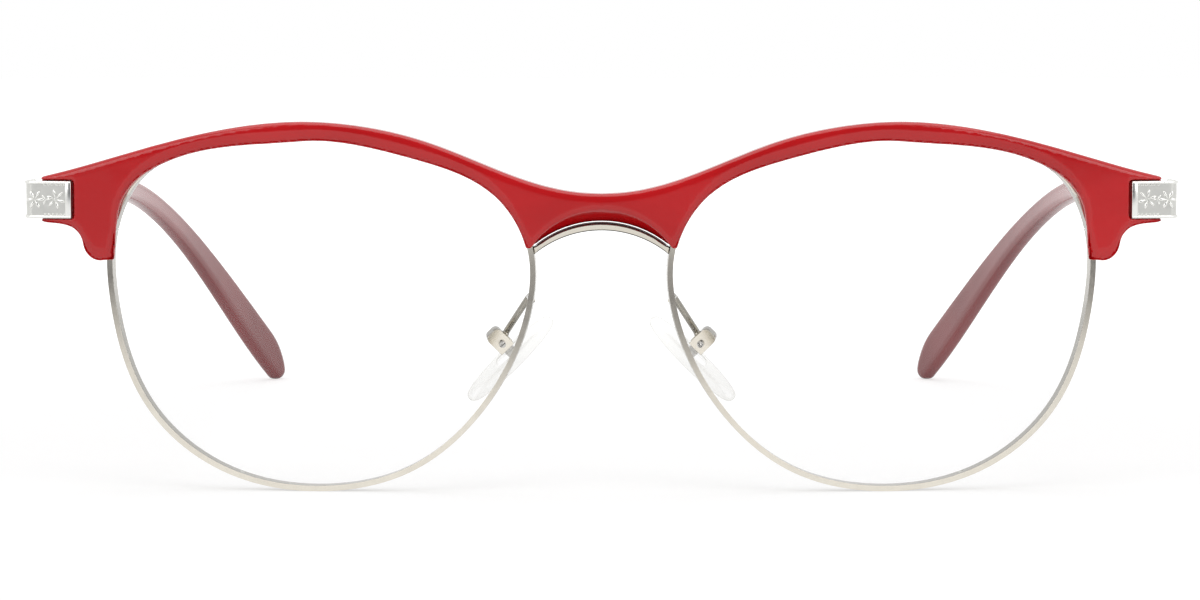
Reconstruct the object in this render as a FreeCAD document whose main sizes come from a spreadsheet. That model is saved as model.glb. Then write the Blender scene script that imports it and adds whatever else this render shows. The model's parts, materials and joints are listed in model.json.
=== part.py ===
import FreeCAD, Part
import math
import os

from FreeCAD import Placement, Rotation, Vector

# Browline glasses, standing on their eyewires and temple tips at Z = 0.
# +X is the wearer's left, the front faces -Y and the temples run to +Y.
# The wearer's left side is modelled, and the right side is its mirror image.

# Driving dimensions, in millimetres and degrees
SIZES = {
    # Lenses and the eyewires that hold them
    "lens_width": 52.0,
    "lens_height": 43.0,
    "lens_thickness": 1.5,
    "lens_radius": 132.0,
    "bridge_width": 16.8,
    "face_form_angle": 4.0,
    "rim_width": 0.68,
    "rim_depth": 2.0,
    "seat_depth": 0.35,
    "seat_gap": 0.03,
    "rim_split": 0.12,
    # Brow bar
    "brow_height": 2.3,
    "brow_depth": 3.8,
    "brow_wall": 1.3,
    "brow_lip": 0.12,
    "brow_drop": 8.7,
    "brow_edge": 0.65,
    "saddle_height": 3.4,
    "scoop_rise": 1.6,
    "scoop_depth": 2.4,
    "nasal_drop": 3.3,
    "nasal_inset": 0.25,
    "end_reach": 8.4,
    "end_height": 5.6,
    "end_angle": 9.0,
    "lobe_drop": 4.65,
    "rebate_gap": 0.05,
    # Metal bridge under the brow
    "bridge_thickness": 1.05,
    "bridge_depth": 1.8,
    "bridge_gap": 0.08,
    "bridge_rise": 3.1,
    # Rim lock blocks and brow lugs on the eyewires
    "lock_width": 2.3,
    "lock_depth": 1.9,
    "lock_height": 1.6,
    "lug_length": 2.8,
    "lug_width": 2.4,
    "lug_thickness": 1.0,
    "lug_bite": 0.9,
    # Small screws and rivets
    "screw_radius": 0.5,
    "screw_head_radius": 0.85,
    "screw_head_height": 0.45,
    "screw_slot": 0.25,
    "screw_fit": 0.02,
    "rivet_radius": 0.5,
    "rivet_length": 1.8,
    # End pieces
    "plate_width": 3.75,
    "plate_height": 4.6,
    "plate_thickness": 1.1,
    "plate_proud": 0.15,
    "plate_gap": 0.1,
    "plate_end_gap": 0.35,
    "plate_corner": 1.3,
    "side_reach": 2.2,
    "side_height": 4.0,
    "side_length": 7.6,
    "side_thickness": 1.2,
    # Hinges
    "knuckle_radius": 1.15,
    "knuckle_height": 1.2,
    "knuckle_gap": 0.05,
    "barrel_gap": 0.12,
    "hinge_pin_radius": 0.6,
    "hinge_pin_fit": 0.03,
    "leaf_thickness": 0.7,
    "leaf_length": 9.0,
    "leaf_height": 2.6,
    "leaf_arm": 1.8,
    # Temples
    "temple_length": 135.0,
    "temple_straight": 61.0,
    "temple_slope": 1.5,
    "temple_thickness": 2.4,
    "temple_height": 4.0,
    "temple_waist": 3.2,
    "tip_height": 4.9,
    "ear_radius": 77.5,
    "head_start": 57.0,
    "head_radius": 140.0,
    "temple_inset": 0.1,
    "butt_gap": 0.06,
    "temple_edge": 0.9,
    "core_thickness": 0.9,
    "core_height": 1.5,
    "core_margin": 4.0,
    # Nose pads, their arms and boxes
    "pad_length": 14.5,
    "pad_width": 7.6,
    "pad_thickness": 1.3,
    "pad_edge": 0.55,
    "pad_lean": 44.5,
    "pad_splay": 12.0,
    "pad_out": 11.4,
    "pad_rise": 15.4,
    "pad_set_back": 12.0,
    "boss_length": 4.6,
    "boss_width": 2.6,
    "boss_height": 0.35,
    "box_size": 2.1,
    "box_depth": 1.9,
    "box_wall": 0.35,
    "box_crown": 0.9,
    "box_round": 0.7,
    "box_rise": 0.7,
    "pad_lug_gap": 0.06,
    "pad_rock_gap": 0.3,
    "pad_screw_radius": 0.3,
    "arm_radius": 0.42,
    "arm_bend": 0.55,
    "arm_reach": 4.6,
    "arm_foot": 1.0,
    "solder_sink": 0.05,
    # How far a cutting tool runs past what it cuts
    "overrun": 3.0,
}

# The eye outline, clockwise from its top, as shares of half the lens size, temple side positive
EYE_SHARES = (
    (0.08, 1.0), (0.50, 0.957), (0.855, 0.79), (0.992, 0.48), (0.992, 0.06), (0.825, -0.53), (0.47, -0.89),
    (0.0, -1.0), (-0.43, -0.88), (-0.77, -0.52), (-0.975, 0.0), (-0.985, 0.38), (-0.84, 0.68), (-0.45, 0.90),
)
# The brow's eye openings, squarer at the temple, in the same shares
OPENING_SHARES = (
    (0.08, 1.0), (0.50, 0.957), (0.852, 0.80), (0.938, 0.70), (0.986, 0.50), (0.997, 0.28), (0.99, 0.0),
    (0.825, -0.53), (0.0, -1.0), (-0.77, -0.52), (-0.975, 0.0), (-0.985, 0.38), (-0.84, 0.68), (-0.45, 0.90),
)
EYE_STEPS = 3
HALVINGS = 40
LOCK_POINT = 3
LUG_POINTS = (11, 12)
# Places on the eye outline that the brow's front face follows in plan
PLAN_SHARES = ((-0.84, 0.68), (0.08, 1.0), (0.50, 0.957), (0.985, 0.48))
NASAL_SHARE = 0.24
# The brow's top edge from its middle outwards: share of its half width, share of the brow's drop
TOP_SHARES = (
    (0.0, 1.0), (0.07, 0.95), (0.14, 0.80), (0.308, 0.283), (0.42, 0.07), (0.53, 0.0), (0.66, 0.095),
    (0.80, 0.35), (0.93, 0.645), (1.0, 0.785),
)
# The lobe's outline from the brow's end inwards: share of the end's reach, share of the lobe's drop
LOBE_SHARES = (
    (1.0, 0.0), (0.71, 0.05), (0.51, 0.18), (0.41, 0.42), (0.37, 0.70), (0.27, 0.93), (0.09, 1.0),
)
# Stations from a temple's straight part to its slanted end: shares of that run, shares of its widening
TIP_SHARES = ((0.0, 0.0), (0.25, 0.0), (0.55, 0.25), (0.85, 0.85), (1.0, 1.0))
# Radii of the tip's slanted upper edge and of its round end, as shares of its height
TIP_SLANT_SHARE = 2.45
TIP_END_SHARE = 0.286
# The pad arm's knee as shares of its reach, out, back and up, and its foot as a share of the half lens height
KNEE_SHARES = (0.08, 1.0, 0.04)
ARM_SHARE = 0.07
# How far the pad arm's end is from the pad screw, up the pad and off it, as shares of the pad box's size
ARM_END_SHARES = (0.3, -0.06)
# The rivets' places along a temple's hinge leaf and up from the middle of an end piece
LEAF_RIVET_SHARES = (0.35, 0.8)
PLATE_RIVET_SHARE = 0.25
# The rounding of a pad boss's corners, as a share of its width
BOSS_CORNER_SHARE = 0.33

# Sizes that two pieces share, as expressions
REACH_TO_LEG = (
    "Sizes.temple_inset + Sizes.temple_thickness + Sizes.knuckle_radius + Sizes.barrel_gap"
    " - Sizes.side_thickness"
)
LUG_THICKNESS = "Sizes.box_depth - 2 * Sizes.box_wall - 2 * Sizes.pad_lug_gap"
RIVET_BITE = "(Sizes.temple_thickness - Sizes.core_thickness) / 2 - Sizes.rebate_gap"

ACROSS = Vector(1, 0, 0)
BACK = Vector(0, 1, 0)
UP = Vector(0, 0, 1)
TO_FRONT = Rotation(ACROSS, 90)
TO_SIDE = Rotation(Vector(1, 1, 1), 120)

doc = FreeCAD.newDocument("browline_glasses")
sheet = doc.addObject("Spreadsheet::Sheet", "Sizes")
for row, (alias, number) in enumerate(SIZES.items(), start=1):
    sheet.set(f"A{row}", str(number))
    sheet.setAlias(f"A{row}", alias)
doc.recompute()

nodes = []


def size(alias):
    """The number in the sheet's cell of that name."""
    return float(sheet.get(alias))


def bind(thing, **expressions):
    """Ties properties of a document object to the sheet."""
    for name, expression in expressions.items():
        thing.setExpression(name.replace("__", "."), expression)
    return thing


def keep(thing, label):
    """Names a finished sub-part and lists it for export."""
    thing.Label = label
    nodes.append(thing)
    return thing


def keep_pair(thing, name):
    """Lists a finished left piece and its mirror image on the right."""
    keep(thing, f"left_{name}")
    return keep(mirrored(thing), f"right_{name}")


def mirrored(thing):
    """The mirror image of a piece across the middle plane."""
    image = doc.addObject("Part::Mirroring", "Mirror")
    image.Source = thing
    image.Normal = ACROSS
    return image


def boolean(kind, base, tool):
    """A boolean of two shapes: Cut, Common or Fuse."""
    result = doc.addObject(f"Part::{kind}", kind)
    result.Base = base
    result.Tool = tool
    return result


def cut(base, *tools):
    """The base with every tool taken away."""
    for tool in tools:
        base = boolean("Cut", base, tool)
    return base


def fuse(base, *others):
    """The base joined with the other shapes."""
    for other in others:
        base = boolean("Fuse", base, other)
    return base


def prism(placement, curves, length):
    """A flat outline drawn in a placed sketch and extruded both ways by half a length."""
    sketch = doc.addObject("Sketcher::SketchObject", "Outline")
    sketch.Placement = placement
    for curve in curves:
        sketch.addGeometry(curve, False)
    solid = doc.addObject("Part::Extrusion", "Prism")
    solid.Base = sketch
    solid.DirMode = "Normal"
    solid.Symmetric = True
    solid.Solid = True
    return bind(solid, LengthFwd=length)


def cylinder(placement, radius, height):
    """A round bar that starts at a placement and runs along its Z."""
    bar = doc.addObject("Part::Cylinder", "Bar")
    bar.Placement = placement
    return bind(bar, Radius=radius, Height=height)


def block(placement, length, width, height):
    """A box from a placed corner."""
    box = doc.addObject("Part::Box", "Block")
    box.Placement = placement
    return bind(box, Length=length, Width=width, Height=height)


def soft_edges(base, radius, chosen):
    """The base with its chosen edges rounded to a radius named in the sheet."""
    doc.recompute()
    soft = doc.addObject("Part::Fillet", "Soft")
    soft.Base = base
    numbers = [i for i, edge in enumerate(base.Shape.Edges, start=1) if chosen(edge)]
    soft.Edges = [(i, size(radius), size(radius)) for i in numbers]
    return soft


def spline(points):
    """An open smooth curve through points."""
    curve = Part.BSplineCurve()
    curve.interpolate(points)
    return curve


def line(first, last):
    return Part.LineSegment(first, last)


def closed_lines(points):
    """Straight lines round a list of corners."""
    return [line(points[i - 1], points[i]) for i in range(len(points))]


def rounded(corners, radii):
    """A closed outline of straight lines whose corners have their own radii, 0 for a sharp one."""
    ends = []
    for i, corner in enumerate(corners):
        before = (corners[i - 1] - corner).normalize()
        after = (corners[(i + 1) % len(corners)] - corner).normalize()
        half = before.getAngle(after) / 2
        trim = radii[i] / math.tan(half)
        middle = (before + after).normalize() * (radii[i] / math.sin(half) - radii[i])
        ends.append((corner + before * trim, corner + middle, corner + after * trim))
    curves = [Part.Arc(*end) for end, radius in zip(ends, radii) if radius]
    return curves + [line(ends[i - 1][2], ends[i][0]) for i in range(len(ends))]


def spot(x, y, z=0):
    """A placement at a point, unturned."""
    return Placement(Vector(x, y, z), Rotation())


# Places that several pieces share, worked out from the sheet

half_lens_width = size("lens_width") / 2
half_lens_height = size("lens_height") / 2
rim_out = size("rim_width") - size("seat_depth")
eye_x = size("bridge_width") / 2 + half_lens_width
eye_z = rim_out + half_lens_height
opening_top = eye_z + half_lens_height - size("seat_depth")
crest_z = opening_top + size("brow_height")
crown_z = crest_z - size("brow_drop") - size("saddle_height")
end_x = size("bridge_width") / 2 + size("lens_width") + size("end_reach")
end_top = crest_z - TOP_SHARES[-1][1] * size("brow_drop")
end_bottom = end_top - size("end_height")
hinge_z = (end_top + end_bottom) / 2
side_x = end_x + size("side_reach")
temple_x = side_x - size("temple_inset") - size("temple_thickness") / 2
hinge_x = temple_x - size("temple_thickness") / 2 - size("knuckle_radius") - size("barrel_gap")
temple_heights = [size("temple_height"), size("temple_waist"), size("tip_height")]


def temple_point(run, ear, aside):
    """A point in a temple's side view, back from the hinge and up: run along its line, aside of it."""
    slope = math.radians(size("temple_slope"))
    straight = size("temple_straight")
    radius = size("ear_radius")
    level = min(run, straight)
    turn = min(max(run - straight, 0) / radius, ear - slope)
    rest = max(run - straight - turn * radius, 0)
    angle = slope + turn
    back = level * math.cos(slope) + radius * (math.sin(angle) - math.sin(slope)) + rest * math.cos(angle)
    down = level * math.sin(slope) + radius * (math.cos(slope) - math.cos(angle)) + rest * math.sin(angle)
    return back + aside * math.sin(angle), hinge_z - down + aside * math.cos(angle)


def temple_edges(heights, first_run, last_run, angle):
    """A temple's upper edge, its tip and its lower edge in side view, back from its butt and up."""
    root, waist, tip = heights
    straight = size("temple_straight")
    slant, end = TIP_SLANT_SHARE * tip, TIP_END_SHARE * tip
    rise = slant - tip + end
    reach = math.sqrt((slant - end) ** 2 - rise ** 2)
    end_run = last_run - end
    slant_run = end_run - reach
    stations = [(first_run, root), ((first_run + straight) / 2, (root + waist) / 2)]
    for share, widen in TIP_SHARES:
        stations.append((straight + share * (slant_run - straight), waist + (tip - waist) * widen))
    upper = [(run, height / 2) for run, height in stations]
    lower = [(run, -height / 2) for run, height in stations] + [(end_run, -tip / 2)]
    joint = math.atan2(reach, rise)
    rounds = [
        (slant_run, tip / 2 - slant, slant, joint / 2),
        (slant_run, tip / 2 - slant, slant, joint),
        (end_run, end - tip / 2, end, (joint + math.pi) / 2),
    ]
    middle = [(run + radius * math.sin(t), aside + radius * math.cos(t)) for run, aside, radius, t in rounds]
    return [
        [Vector(*temple_point(run, angle, aside)) for run, aside in edge] for edge in (upper, middle, lower)
    ]


def tip_arcs(upper, middle, lower):
    """The slanted upper edge of a temple's tip and its round end, from the points of its outline."""
    return [Part.Arc(upper[-1], middle[0], middle[1]), Part.Arc(middle[1], middle[2], lower[-1])]


def tip_box(angle):
    """The bounds of a temple tip's end in side view, with the tip at an angle below level."""
    arcs = tip_arcs(*temple_edges(temple_heights, 0, size("temple_length"), angle))
    return Part.makeCompound([arc.toShape() for arc in arcs]).BoundBox


def ear_angle():
    """The tip's angle below level that brings its lowest point down to the table."""
    low, high = math.radians(size("temple_slope")), math.pi / 2
    for _ in range(HALVINGS):
        middle = (low + high) / 2
        if tip_box(middle).YMin > 0:
            low = middle
        else:
            high = middle
    return low


def sag(u, v):
    """How far the lens's middle surface falls back at a place on the lens."""
    return size("lens_radius") - math.sqrt(size("lens_radius") ** 2 - u ** 2 - v ** 2)


def set_back(u, v):
    """How far behind the lens's apex a place on its middle surface is, with the face form."""
    turn = math.radians(size("face_form_angle"))
    return u * math.sin(turn) + sag(u, v) * math.cos(turn)


def outward(u, v):
    """The distance of a place on the lens's middle surface from the middle plane."""
    turn = math.radians(size("face_form_angle"))
    return eye_x + u * math.cos(turn) - sag(u, v) * math.sin(turn)


ear = ear_angle()
brow_front = size("brow_wall") + size("rim_depth") / 2
nasal_set_back = set_back(-half_lens_width, NASAL_SHARE * half_lens_height)


def plan_points(front):
    """The brow's front face in plan, from its middle to the wearer's left end."""
    points = [Vector(0, front)]
    for u_share, v_share in PLAN_SHARES:
        u, v = u_share * half_lens_width, v_share * half_lens_height
        points.append(Vector(outward(u, v), front + set_back(u, v) - nasal_set_back))
    for x in (end_x - size("plate_width"), end_x):
        run = x - points[-1].x
        points.append(Vector(x, points[-1].y + run * math.tan(math.radians(size("end_angle")))))
    return points


# The part is centred front to back between the brow and the temple tips
hinge_back = plan_points(0)[-1].y + size("side_length")
front_y = -(hinge_back + size("butt_gap") + tip_box(ear).XMax) / 2
front_points = plan_points(front_y)
hinge_y = front_y + hinge_back
apex_y = front_y + brow_front - nasal_set_back
eye_place = Placement(Vector(eye_x, apex_y, eye_z), Rotation(UP, size("face_form_angle")))


def eye_points(shares=EYE_SHARES):
    return [Vector(u * half_lens_width, v * half_lens_height) for u, v in shares]


def eye_base(shares=EYE_SHARES):
    """The outline of the lens or of an opening, a closed smooth curve."""
    curve = Part.BSplineCurve()
    curve.interpolate(eye_points(shares), PeriodicFlag=True)
    return curve


def eye_curve(offset, shares=EYE_SHARES):
    """An eye outline moved outwards by an offset, or inwards by a negative one."""
    base = eye_base(shares)
    count = EYE_STEPS * len(shares)
    span = (base.LastParameter - base.FirstParameter) / count
    points = []
    for i in range(count):
        place = base.FirstParameter + i * span
        along = base.tangent(place)[0]
        points.append(base.value(place) + Vector(-along.y, along.x) * offset)
    curve = Part.BSplineCurve()
    curve.interpolate(points, PeriodicFlag=True)
    return curve


def eye_prism(*offsets, shares=EYE_SHARES):
    """A prism along the lens axis between eye outlines."""
    place = eye_place.multiply(Placement(Vector(), TO_FRONT))
    return prism(place, [eye_curve(offset, shares) for offset in offsets], "Sizes.lens_width")


def eye_sphere(radius):
    """A ball about the centre of the lens's curvature."""
    ball = doc.addObject("Part::Sphere", "Ball")
    ball.Placement = Placement(eye_place.multVec(BACK * size("lens_radius")), Rotation())
    return bind(ball, Radius=radius)


def eye_slice(thickness, *offsets):
    """A curved slice of an eye prism, centred on the lens's middle surface."""
    front = boolean("Common", eye_prism(*offsets), eye_sphere(f"Sizes.lens_radius + ({thickness}) / 2"))
    return cut(front, eye_sphere(f"Sizes.lens_radius - ({thickness}) / 2"))


def eye_spot(u, v, turn=0):
    """A placement on the lens's middle surface, turned in the lens plane."""
    return eye_place.multiply(Placement(Vector(u, sag(u, v), v), Rotation(BACK, -turn)))


def make_lens():
    keep_pair(eye_slice("Sizes.lens_thickness", 0), "lens")


def make_eyewire():
    """A curved hoop with a groove for the lens, split where the rim lock closes it."""
    hoop = eye_slice("Sizes.rim_depth", rim_out, -size("seat_depth"))
    groove = eye_slice("Sizes.lens_thickness + 2 * Sizes.seat_gap", size("seat_gap"))
    corner = Vector(-half_lens_width / 2, -half_lens_width, -size("rim_split") / 2)
    u, v = eye_points()[LOCK_POINT].x, eye_points()[LOCK_POINT].y
    place = eye_spot(u, v).multiply(Placement(corner, Rotation()))
    split = block(place, "Sizes.lens_width", "Sizes.lens_width", "Sizes.rim_split")
    keep_pair(cut(hoop, groove, split), "eyewire")


def lock_middle():
    """The rim lock's screw axis, where it crosses the split, on the lens's middle surface."""
    point = eye_points()[LOCK_POINT]
    return point.x + rim_out + size("lock_width") / 2, point.y


def screw(place, radius, length, head_radius):
    """A slotted screw: its head starts at the placement and its shank runs back along -Z."""
    head = cylinder(place, head_radius, "Sizes.screw_head_height")
    shank_place = place.multiply(Placement(Vector(), Rotation(ACROSS, 180)))
    shank = cylinder(shank_place, radius, length)
    corner = spot(-size("overrun") / 2, -size("screw_slot") / 2, size("screw_head_height") / 2)
    slot_place = place.multiply(corner)
    slot = block(slot_place, "Sizes.overrun", "Sizes.screw_slot", "Sizes.screw_head_height")
    return cut(fuse(head, shank), slot)


def make_rim_lock():
    """Two blocks on the split eyewire, drawn together by a screw from below."""
    u, v = lock_middle()
    inner = -(size("lock_width") + size("rim_width")) / 2
    hoop = eye_prism(rim_out)
    bore_place = eye_spot(u, v).multiply(spot(0, 0, -size("lens_height") / 2))
    bore = cylinder(bore_place, "Sizes.screw_radius + Sizes.screw_fit", "Sizes.lens_height")
    low_ends = {"upper": size("rim_split") / 2, "lower": -size("rim_split") / 2 - size("lock_height")}
    for name, low in low_ends.items():
        place = eye_spot(u, v).multiply(spot(inner, -size("lock_depth") / 2, low))
        body = block(place, "Sizes.lock_width + Sizes.rim_width / 2", "Sizes.lock_depth", "Sizes.lock_height")
        keep_pair(cut(body, hoop, bore), f"rim_lock_{name}")
    head = spot(0, 0, -size("rim_split") / 2 - size("lock_height"))
    head.Rotation = Rotation(ACROSS, 180)
    place = eye_spot(u, v).multiply(head)
    body = screw(place, "Sizes.screw_radius", "2 * Sizes.lock_height", "Sizes.screw_head_radius")
    keep_pair(body, "rim_lock_screw")


def lock_pocket():
    """The hollow behind the brow's lobe that takes the rim lock, open at the back and below."""
    u, v = lock_middle()
    gap = size("rebate_gap")
    inner = -size("lock_width") / 2 - size("rim_width")
    deep = size("lobe_drop") + size("overrun")
    place = eye_spot(u, v).multiply(spot(inner, -size("lock_depth") / 2 - gap, -deep))
    return block(
        place,
        "Sizes.lock_width + Sizes.rim_width + Sizes.rebate_gap",
        "Sizes.brow_depth + Sizes.overrun",
        "Sizes.lobe_drop + Sizes.overrun + Sizes.rim_split / 2 + Sizes.lock_height + Sizes.rebate_gap",
    )


def lug_place():
    """The foot of the brow lug on the eyewire, its X pointing away from the lens."""
    base = eye_base()
    first, last = [base.parameter(eye_points()[i]) for i in LUG_POINTS]
    point = base.value((first + last) / 2)
    along = base.tangent((first + last) / 2)[0]
    turn = math.degrees(math.atan2(along.x, -along.y))
    return eye_spot(point.x, point.y, turn)


def lug_axis():
    """The lug's screw axis: a placement on the lug's back, its Z pointing back."""
    middle = rim_out + size("lug_length") / 2
    place = Placement(Vector(middle, size("lug_thickness") / 2, 0), Rotation(ACROSS, -90))
    return lug_place().multiply(place)


def make_brow_lug():
    """A flat tab on the eyewire behind the brow, and the screw through it into the brow."""
    place = lug_place().multiply(spot(0, -size("lug_thickness") / 2, -size("lug_width") / 2))
    length = "Sizes.lug_length + Sizes.rim_width - Sizes.seat_depth"
    tab = block(place, length, "Sizes.lug_thickness", "Sizes.lug_width")
    bore_place = lug_axis().multiply(spot(0, 0, -size("brow_depth")))
    bore = cylinder(bore_place, "Sizes.screw_radius + Sizes.screw_fit", "2 * Sizes.brow_depth")
    keep_pair(cut(tab, eye_prism(rim_out), bore), "brow_lug")
    body = screw(lug_axis(), "Sizes.screw_radius", "Sizes.lug_thickness + Sizes.lug_bite",
                 "Sizes.screw_head_radius")
    keep_pair(body, "brow_screw")


def lug_recess():
    """The slot in the brow's back for the lug, with the hole for its screw."""
    gap = size("rebate_gap")
    place = lug_place().multiply(spot(0, -size("lug_thickness") / 2 - gap, -size("lug_width") / 2 - gap))
    slot = block(
        place,
        "Sizes.lug_length + Sizes.rim_width - Sizes.seat_depth + Sizes.rebate_gap",
        "Sizes.brow_depth + Sizes.overrun",
        "Sizes.lug_width + 2 * Sizes.rebate_gap",
    )
    deep = size("lug_thickness") + size("lug_bite") + gap
    hole_place = lug_axis().multiply(spot(0, 0, -deep))
    hole = cylinder(hole_place, "Sizes.screw_radius + Sizes.screw_fit", "Sizes.brow_depth")
    return fuse(slot, hole)


def other_way(points):
    """A half outline's points on the other side, in reverse order, without the middle one."""
    return [Vector(-p.x, p.y) for p in reversed(points) if p.x]


def brow_outline():
    """The brow seen from the front, with its lower edge running across the eye openings."""
    top = [Vector(x * end_x, crest_z - drop * size("brow_drop")) for x, drop in TOP_SHARES]
    lens_end = end_x - size("end_reach")
    lobe = [
        Vector(lens_end + x * size("end_reach"), end_bottom - drop * size("lobe_drop"))
        for x, drop in LOBE_SHARES
    ]
    tip = Vector(size("bridge_width") / 2 + size("nasal_inset"), crown_z - size("nasal_drop"))
    left = [line(top[-1], lobe[0]), spline(lobe), line(lobe[-1], tip)]
    lobe, tip_right = [Vector(-p.x, p.y) for p in lobe], Vector(-tip.x, tip.y)
    right = [line(Vector(-top[-1].x, top[-1].y), lobe[0]), spline(lobe), line(lobe[-1], tip_right)]
    arch = Part.Arc(tip, Vector(0, crown_z), tip_right)
    return [spline(other_way(top) + top)] + left + right + [arch]


def brow_plan():
    """The brow seen from above, a curved band."""
    front = other_way(front_points) + front_points
    back = [p + BACK * size("brow_depth") for p in front]
    return [spline(front), spline(back), line(front[0], back[0]), line(front[-1], back[-1])]


def saddle_scoop():
    """The hollow under the brow's bridge, whose front edge arches higher than its back edge."""
    half = size("bridge_width") / 2 + size("nasal_inset")
    tip_z = crown_z - size("nasal_drop")
    low = tip_z - size("overrun")
    sections = []
    for back, rise in ((0, size("scoop_rise")), (size("scoop_depth"), 0)):
        sketch = doc.addObject("Sketcher::SketchObject", "Section")
        sketch.Placement = Placement(Vector(0, front_y + back, 0), TO_FRONT)
        ends = [Vector(-half, tip_z), Vector(half, tip_z), Vector(half, low), Vector(-half, low)]
        sketch.addGeometry(Part.Arc(ends[0], Vector(0, crown_z + rise), ends[1]), False)
        for i in range(1, 4):
            sketch.addGeometry(line(ends[i], ends[(i + 1) % 4]), False)
        sections.append(sketch)
    scoop = doc.addObject("Part::Loft", "Scoop")
    scoop.Sections = sections
    scoop.Solid = True
    scoop.Ruled = True
    return scoop


def plate_line(depth):
    """The end piece's line in plan at a depth behind the brow's front: its inner end and its direction."""
    inner, outer = front_points[-2], front_points[-1]
    along = (outer - inner).normalize()
    return inner + Vector(-along.y, along.x) * depth, along


def on_plate(depth, x):
    """The point of the end piece's line at a depth that lies that far out."""
    start, along = plate_line(depth)
    return start + along * ((x - start.x) / along.x)


def plate_recess():
    """The slot in the brow's end that takes the end piece."""
    depth = size("plate_thickness") - size("plate_proud")
    start, along = plate_line(depth)
    start = start - along * size("plate_end_gap")
    far = start + along * (size("plate_width") + size("overrun"))
    ahead = Vector(along.y, -along.x) * (depth + size("overrun"))
    height = "Sizes.plate_height + 2 * Sizes.plate_gap"
    corners = [start, far, far + ahead, start + ahead]
    return prism(spot(0, 0, hinge_z), closed_lines(corners), height)


def end_rivet_places():
    """The two rivets behind an end piece, side by side, their Z pointing into the brow."""
    depth = size("plate_thickness") - size("plate_proud")
    start, along = plate_line(depth)
    inwards = Rotation(UP, Vector(-along.y, along.x))
    middle = start + along * (size("plate_width") / 2)
    up = UP * (size("plate_height") * PLATE_RIVET_SHARE)
    return [Placement(middle + UP * hinge_z + side, inwards) for side in (up, -up)]


def is_front_edge(edge):
    """Whether an edge bounds the brow's front face along its top, a lobe or an eye opening."""
    middle = edge.valueAt((edge.FirstParameter + edge.LastParameter) / 2)
    from_front = Part.Vertex(middle.x, middle.y, 0).distToShape(brow_plan()[0].toShape())[0]
    beside_nose = abs(middle.x) > size("bridge_width") / 2 + size("nasal_inset")
    over_nose = middle.z > crown_z + size("scoop_rise")
    long_enough = edge.BoundBox.XLength > 2 * size("brow_edge")
    return from_front < size("brow_lip") and (beside_nose or over_nose) and long_enough


def make_brow():
    blank = boolean(
        "Common",
        prism(Placement(Vector(), TO_FRONT), brow_outline(), "4 * Sizes.temple_length"),
        prism(spot(0, 0), brow_plan(), "4 * Sizes.lens_height"),
    )
    blank = cut(blank, saddle_scoop())
    opening = eye_prism(-size("seat_depth") - size("brow_lip"), shares=OPENING_SHARES)
    rebate = boolean(
        "Common",
        eye_prism(rim_out + size("rebate_gap")),
        eye_sphere("Sizes.lens_radius + Sizes.rim_depth / 2 + Sizes.rebate_gap"),
    )
    holes = [
        cylinder(place, "Sizes.rivet_radius + Sizes.screw_fit", "Sizes.rivet_length + Sizes.rebate_gap")
        for place in end_rivet_places()
    ]
    left = fuse(rebate, lock_pocket(), lug_recess(), plate_recess(), *holes)
    blank = soft_edges(cut(blank, opening, mirrored(opening)), "brow_edge", is_front_edge)
    keep(cut(blank, left, mirrored(left)), "brow_bar")


def make_bridge():
    """An arched bar from eyewire to eyewire, under the brow."""
    half = size("bridge_width") / 2
    top = crown_z - size("bridge_gap")
    arcs = []
    for crown in (top, top - size("bridge_thickness")):
        ends = [Vector(side * half, crown - size("bridge_rise")) for side in (-1, 1)]
        arcs.append(Part.Arc(ends[0], Vector(0, crown), ends[1]))
    sides = [line(getattr(arcs[0], end), getattr(arcs[1], end)) for end in ("StartPoint", "EndPoint")]
    middle = front_y + brow_front
    bar = prism(Placement(Vector(0, middle, 0), TO_FRONT), arcs + sides, "Sizes.bridge_depth")
    hoop = eye_prism(rim_out)
    keep(cut(bar, hoop, mirrored(hoop)), "bridge_bar")


def make_end_piece():
    """A plate in the brow's slot that turns the corner and runs back to the hinge."""
    front, back = -size("plate_proud"), size("plate_thickness") - size("plate_proud")
    inner_x = side_x - size("side_thickness")
    corners = [
        plate_line(front)[0],
        on_plate(front, side_x),
        Vector(side_x, hinge_y),
        Vector(inner_x, hinge_y),
        on_plate(back, inner_x),
        plate_line(back)[0],
    ]
    inside = size("plate_corner") - size("side_thickness")
    radii = [0, size("plate_corner"), 0, 0, max(inside, 0), 0]
    plate = prism(spot(0, 0, hinge_z), rounded(corners, radii), "Sizes.plate_height")
    trim_y = on_plate(back, inner_x).y
    for low in (hinge_z + size("side_height") / 2, hinge_z - size("side_height") / 2 - size("overrun")):
        trim = block(spot(end_x, trim_y, low), "Sizes.side_reach + Sizes.overrun",
                     "Sizes.side_length + Sizes.overrun", "Sizes.overrun")
        plate = cut(plate, trim)
    keep_pair(plate, "end_piece")
    pins = [cylinder(place, "Sizes.rivet_radius", "Sizes.rivet_length") for place in end_rivet_places()]
    group = doc.addObject("Part::Compound", "Rivets")
    group.Links = pins
    keep_pair(group, "end_rivets")


def knuckle(low, height):
    """A hinge knuckle from a height above the hinge's middle, with its bore."""
    place = spot(hinge_x, hinge_y, hinge_z + low)
    return cylinder(place, "Sizes.knuckle_radius", height)


def hinge_bore():
    place = spot(hinge_x, hinge_y, hinge_z - size("temple_height"))
    return cylinder(place, "Sizes.hinge_pin_radius + Sizes.hinge_pin_fit", "2 * Sizes.temple_height")


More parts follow.
